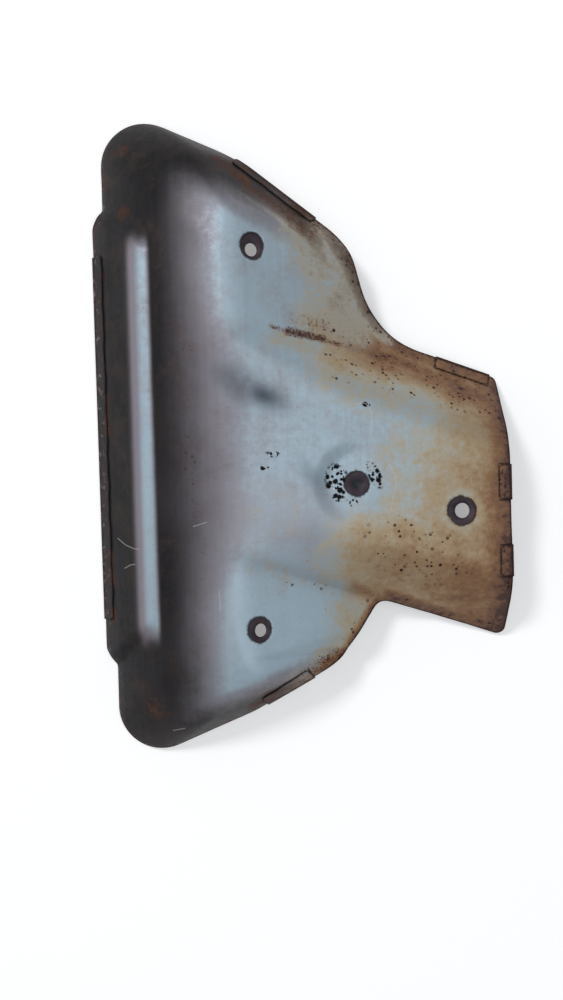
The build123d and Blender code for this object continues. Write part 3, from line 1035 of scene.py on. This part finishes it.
def heat_colours_and_painted_light(tree, broad, patchy, fine, drawn):
    """Steel with scale and painted light under temper colours and scorched edges, and how far the temper
    has gone.
    """
    wall = mask(tree, "wall")
    tone = broken(tree, wall, ((broad, 0.3), (patchy, 0.36), (fine, 0.34), (drawn, 0.12)))
    # Wall tones, scale and painted reflection: pale blue-grey on the flats to nearly black on the steep
    # walls.
    colour = colour_scale(tree, tone, {
        0.0: (166, 186, 198), 0.1: (158, 170, 180), 0.2: (147, 151, 160), 0.42: (125, 123, 130),
        0.64: (91, 89, 93), 0.84: (56, 54, 57), 1.0: (36, 35, 37),
    })
    umber = times(tree, remap(tree, patchy, 0.42, 0.66), remap(tree, wall, 0.3, 0.9, 0.0, 0.44))
    colour = layer(tree, umber, colour, linear(62, 50, 45))
    # Pinkish tint, with a painted reflection along the bead's corner.
    lavender_and_corner_reflection = times(tree, mask(tree, "lavender_and_corner_reflection"), 0.75)
    colour = layer(tree, lavender_and_corner_reflection, colour, linear(150, 140, 149))

    heat = broken(tree, mask(tree, "temper"), ((broad, 0.42), (patchy, 0.56), (fine, 0.6)))
    temper = colour_scale(tree, heat, {
        0.0: (162, 171, 175), 0.14: (168, 173, 170), 0.3: (173, 168, 154), 0.5: (168, 148, 120),
        0.75: (142, 109, 81), 0.95: (110, 81, 69), 1.0: (84, 64, 58),
    })
    gate = remap(tree, mask(tree, "temper"), 0.02, 0.16)
    tempered = times(tree, remap(tree, heat, 0.0, 0.36), remap(tree, wall, 0.95, 0.3), gate)
    colour = layer(tree, tempered, colour, temper)

    scorch_and_valley_shade = broken(tree, mask(tree, "scorch_and_valley_shade"), ((broad, 0.4), (patchy, 0.6), (fine, 0.6)))
    ashen = colour_scale(tree, scorch_and_valley_shade, {
        0.0: (162, 164, 160), 0.3: (172, 166, 154), 0.5: (140, 129, 117),
        0.75: (104, 91, 81), 1.0: (54, 44, 40),
    })
    on_pale = times(tree, remap(tree, scorch_and_valley_shade, 0.08, 0.36), remap(tree, wall, 0.8, 0.25))
    on_dark = times(tree, remap(tree, scorch_and_valley_shade, 0.55, 0.85), remap(tree, wall, 1.0, 0.5))
    gate = remap(tree, mask(tree, "scorch_and_valley_shade"), 0.02, 0.16)
    scorched = times(tree, calc(tree, "MAXIMUM", on_pale, on_dark), gate)
    colour = layer(tree, scorched, colour, ashen)
    # Painted shade, a bluish dark, in the dent, the dish and the lower valley.
    painted_shade = times(tree, mask(tree, "painted_shade"), 0.95)
    return layer(tree, painted_shade, colour, linear(72, 78, 88)), heat


# %% [markdown]
# ## Rust, specks and mottling
#
# Rust is a thin brown stain with dark crumbs in its middle. Specks and pits are round cells, and the
# scale on the walls is mottled. These layers lie over the colours of heat.

# %% Rust, specks and mottling


def rusted(tree, colour, patchy, fine, grain):
    """Brown stain with dark crumbs over a colour, and where the stain lies."""
    depth = broken(tree, mask(tree, "rust"), ((patchy, 0.9), (fine, 0.6)))
    stain = remap(tree, depth, 0.22, 0.9)
    colour = layer(tree, times(tree, stain, 0.72), colour, linear(112, 70, 48))
    crumbs = remap(tree, broken(tree, depth, ((grain, 2.6),)), 0.62, 0.86)
    return layer(tree, times(tree, crumbs, 0.85), colour, linear(58, 36, 34)), stain


def flecked(tree, colour, patchy):
    """Specks, dust, soot pits and pale crumbs between the pits, and where the pits lie."""
    gathered = remap(tree, mask(tree, "specks"), 0.25, 0.6)
    speck = times(tree, dots(tree, 360, 0.46, 0.65), gathered, remap(tree, patchy, 0.44, 0.52))
    dust = times(tree, dots(tree, 640, 0.3, 0.3), remap(tree, patchy, 0.5, 0.7, 0.0, 0.5))
    colour = layer(tree, calc(tree, "MAXIMUM", speck, dust), colour, linear(58, 38, 34))
    soot = mask(tree, "soot")
    crumb = times(tree, dots(tree, 900, 0.5, 0.4), remap(tree, soot, 0.3, 0.7, 0.0, 0.75))
    colour = layer(tree, crumb, colour, linear(205, 208, 210))
    spots = calc(tree, "MAXIMUM", dots(tree, 380, 0.74, 0.75), dots(tree, 640, 0.66, 0.6))
    pit = times(tree, spots, remap(tree, soot, 0.2, 0.4))
    return layer(tree, pit, colour, linear(14, 13, 15)), pit


def mottled(tree, colour, patchy, fine):
    """A colour made lighter and darker in patches, the more so on the dark walls."""
    depth = remap(tree, mask(tree, "wall"), 0.3, 0.9, 0.25, 1.3)
    patches = spread_of(tree, patchy, depth)
    flecks = spread_of(tree, fine, depth)
    strength = calc(tree, "ADD", calc(tree, "ADD", patches, flecks), 1.0)
    return vector(tree, "SCALE", {0: colour, "Scale": strength})


# %% [markdown]
# ## The show face's finish
#
# The layers come together here, under darkened trimmed edges and window rims, painted shadow lines along
# the tabs' borders, pale nicks on the hem and bright scratches. Rust and brown temper are duller than
# bare steel, so they also drive roughness and metallic. A faint bump gives the grain.

# %% Heat-coloured steel, with painted light
scratch_width, scratch_strength = 0.4, 0.42


def heat_coloured_steel_and_painted_light():
    """The outer sheet's and the tabs' finish."""
    material, tree, shader = bare_material("heat_coloured_steel_and_painted_light")
    broad = cloud(tree, 20, 6, 0.6)
    patchy = cloud(tree, 75, 6, 0.68)
    fine = cloud(tree, 280, 6, 0.72)
    grain = cloud(tree, 1100, 3, 0.6)
    drawn = cloud(tree, 1, 4, 0.6, (420, 14, 14))
    colour, heat = heat_colours_and_painted_light(tree, broad, patchy, fine, drawn)
    colour, stain = rusted(tree, colour, patchy, fine, grain)
    colour, pit = flecked(tree, colour, patchy)
    colour = mottled(tree, colour, patchy, fine)

    # Darkened trimmed edges and window rims, and painted shadow lines along the tabs' borders.
    dark_edges_and_seam_shadow = remap(tree, broken(tree, mask(tree, "rim"), ((fine, 0.7),)), 0.3, 0.8, 0.0, 0.8)
    colour = layer(tree, dark_edges_and_seam_shadow, colour, linear(44, 35, 35))
    on_hem = remap(tree, mask(tree, "nicks"), 0.2, 0.8, 0.0, 0.6)
    nick = times(tree, remap(tree, fine, 0.54, 0.64), on_hem)
    colour = layer(tree, nick, colour, linear(136, 131, 133))
    for route in scratches:
        hairline = times(tree, scratch(tree, route, scratch_width), scratch_strength)
        colour = layer(tree, hairline, colour, linear(196, 196, 194))

    dull = calc(tree, "MAXIMUM", stain, remap(tree, heat, 0.5, 1.0, 0.0, 0.5))
    rough = calc(tree, "ADD", remap(tree, fine, 0.2, 0.8, 0.4, 0.56), times(tree, dull, 0.3))
    metal = calc(tree, "SUBTRACT", 0.3, times(tree, dull, 0.3), True)
    relief = calc(tree, "ADD", times(tree, grain, 0.4), times(tree, fine, 0.6))
    relief = calc(tree, "SUBTRACT", relief, times(tree, pit, 0.8))
    bump = put(tree, "ShaderNodeBump", {"Height": relief, "Strength": 0.5, "Distance": 0.0003}).outputs[0]
    feed(tree, shader, {"Base Color": colour, "Roughness": rough, "Metallic": metal, "Normal": bump})
    feed(tree, shader, {"Specular IOR Level": 0.08})
    return material


show_finish = heat_coloured_steel_and_painted_light()
outer_skin.data.materials.append(show_finish)
print(show_finish.name, "has", len(show_finish.node_tree.nodes), "nodes")

# %% [markdown]
# ## The hidden sheet's finish
#
# The inner sheet only shows through the windows and from below. It has dark heat scale with a purple cast
# and small rust blooms. Its dimple under the seat's window is painted a dark blue, painted shade that
# stands for the dark depth of a hole. Its tabs lie outside and have aged with the show face, so they take
# that face's material.

# %% Scaled steel
disc_rim, disc_full = 2.9, 2.3


def scaled_steel():
    """The inner sheet's finish: dark heat scale with a purple cast, and painted shade in the seat's
    dimple.
    """
    material, tree, shader = bare_material("scaled_steel")
    broad = cloud(tree, 30, 5)
    fine = cloud(tree, 260, 6, 0.65)
    colour = layer(tree, remap(tree, broad, 0.3, 0.7), linear(47, 38, 48), linear(68, 54, 61))
    bloom = times(tree, remap(tree, fine, 0.55, 0.75), 0.5)
    colour = layer(tree, bloom, colour, linear(98, 68, 54))
    # Painted shade: the dimple under the seat's window is dark blue, like the shade seen down a hole.
    away = vector(tree, "DISTANCE", {0: place_of(tree, (1, 1, 0)), 1: Vector((*seat, 0)) * MM}, "Value")
    painted_dark_bottom = remap(tree, away, disc_rim * MM, disc_full * MM)
    colour = layer(tree, painted_dark_bottom, colour, linear(24, 33, 41))
    rough = remap(tree, fine, 0.2, 0.8, 0.5, 0.75)
    bump = put(tree, "ShaderNodeBump", {"Height": fine, "Strength": 0.4, "Distance": 0.0002}).outputs[0]
    feed(tree, shader, {"Base Color": colour, "Roughness": rough, "Metallic": 0.25, "Normal": bump})
    return material


back_finish = scaled_steel()
inner_skin.data.materials.append(back_finish)
inner_skin.data.materials.append(show_finish)
for polygon in inner_skin.data.polygons[skin_faces:]:
    polygon.material_index = 1
print(back_finish.name, "on", skin_faces, "faces, tabs in", show_finish.name)

# %% [markdown]
# ## The floor
#
# The shield lies on white paper. It glows a little, which stands for the light that a bright room bounces
# under the shield, so the shadow stays pale and the bolt holes show light.

# %% White paper
bpy.ops.mesh.primitive_plane_add(size=8)
floor = bpy.context.object
floor.name = "floor"
floor_finish, floor_tree, floor_shader = bare_material("white_paper")
feed(floor_tree, floor_shader, {"Base Color": (0.88, 0.88, 0.88, 1), "Roughness": 0.9})
feed(floor_tree, floor_shader, {"Emission Color": (1, 1, 1, 1), "Emission Strength": 0.3})
floor.data.materials.append(floor_finish)
floor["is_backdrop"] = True
print("floor", [round(side, 1) for side in floor.dimensions[:2]], "m")

# %% [markdown]
# ## Studio light
#
# The shadow falls to the lower right and is soft, so the main light is a softbox at the upper left. It
# stands well back, because a near light would make one end of the shield brighter than the other. A broad
# softbox overhead and a dim sky fill in.

# %% Studio light
scene = bpy.context.scene
scene.view_settings.view_transform = "Standard"
world = bpy.data.worlds.new("studio")
scene.world = world
world.use_nodes = True
sky = world.node_tree.nodes["Background"]
feed(world.node_tree, sky, {"Color": (0.9, 0.95, 1.0, 1), "Strength": 0.27})


def softbox(name, place, size, watts):
    """Square area light aimed at the shield."""
    light = bpy.data.lights.new(name, "AREA")
    light.size = size
    light.energy = watts
    lamp = bpy.data.objects.new(name, light)
    lamp.location = place
    lamp.rotation_euler = (-Vector(place)).to_track_quat("-Z", "Y").to_euler()
    scene.collection.objects.link(lamp)
    return lamp


lamps = [softbox("overhead", (0.4, -0.4, 2.6), 2.2, 24), softbox("key", (-1.3, 1.3, 2.3), 0.6, 32)]
print("lights:", [lamp.name for lamp in lamps])

# %% [markdown]
# ## The camera
#
# The view is straight down, so each pixel shows the same length of floor, and the lens follows from that
# length and the camera's height.

# %% Camera
picture_height = 1000
mm_per_pixel = 0.567
camera_height = 600
view_middle = (-10.7, -38.3)
view_turn = -1.96
lens_view = bpy.data.cameras.new("camera")
lens_view.sensor_width = 36
lens_view.lens = camera_height / (mm_per_pixel * picture_height) * lens_view.sensor_width
camera = bpy.data.objects.new("camera", lens_view)
camera.location = Vector((*view_middle, camera_height)) * MM
camera.rotation_euler = (0, 0, radians(view_turn))
scene.collection.objects.link(camera)
scene.camera = camera
print("lens", round(lens_view.lens, 2), "mm")

# %% [markdown]
# ## The boxes of the solids and of the dressed shield
#
# The box of the solids and the box of the dressed shield are both gathered and printed.

# %% Sizes of the two boxes
shown_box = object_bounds()
boxes = {"cad": cad_box, "visual": shown_box}
for name, box in boxes.items():
    print(name, [[round(c / MM, 2) for c in corner] for corner in box])
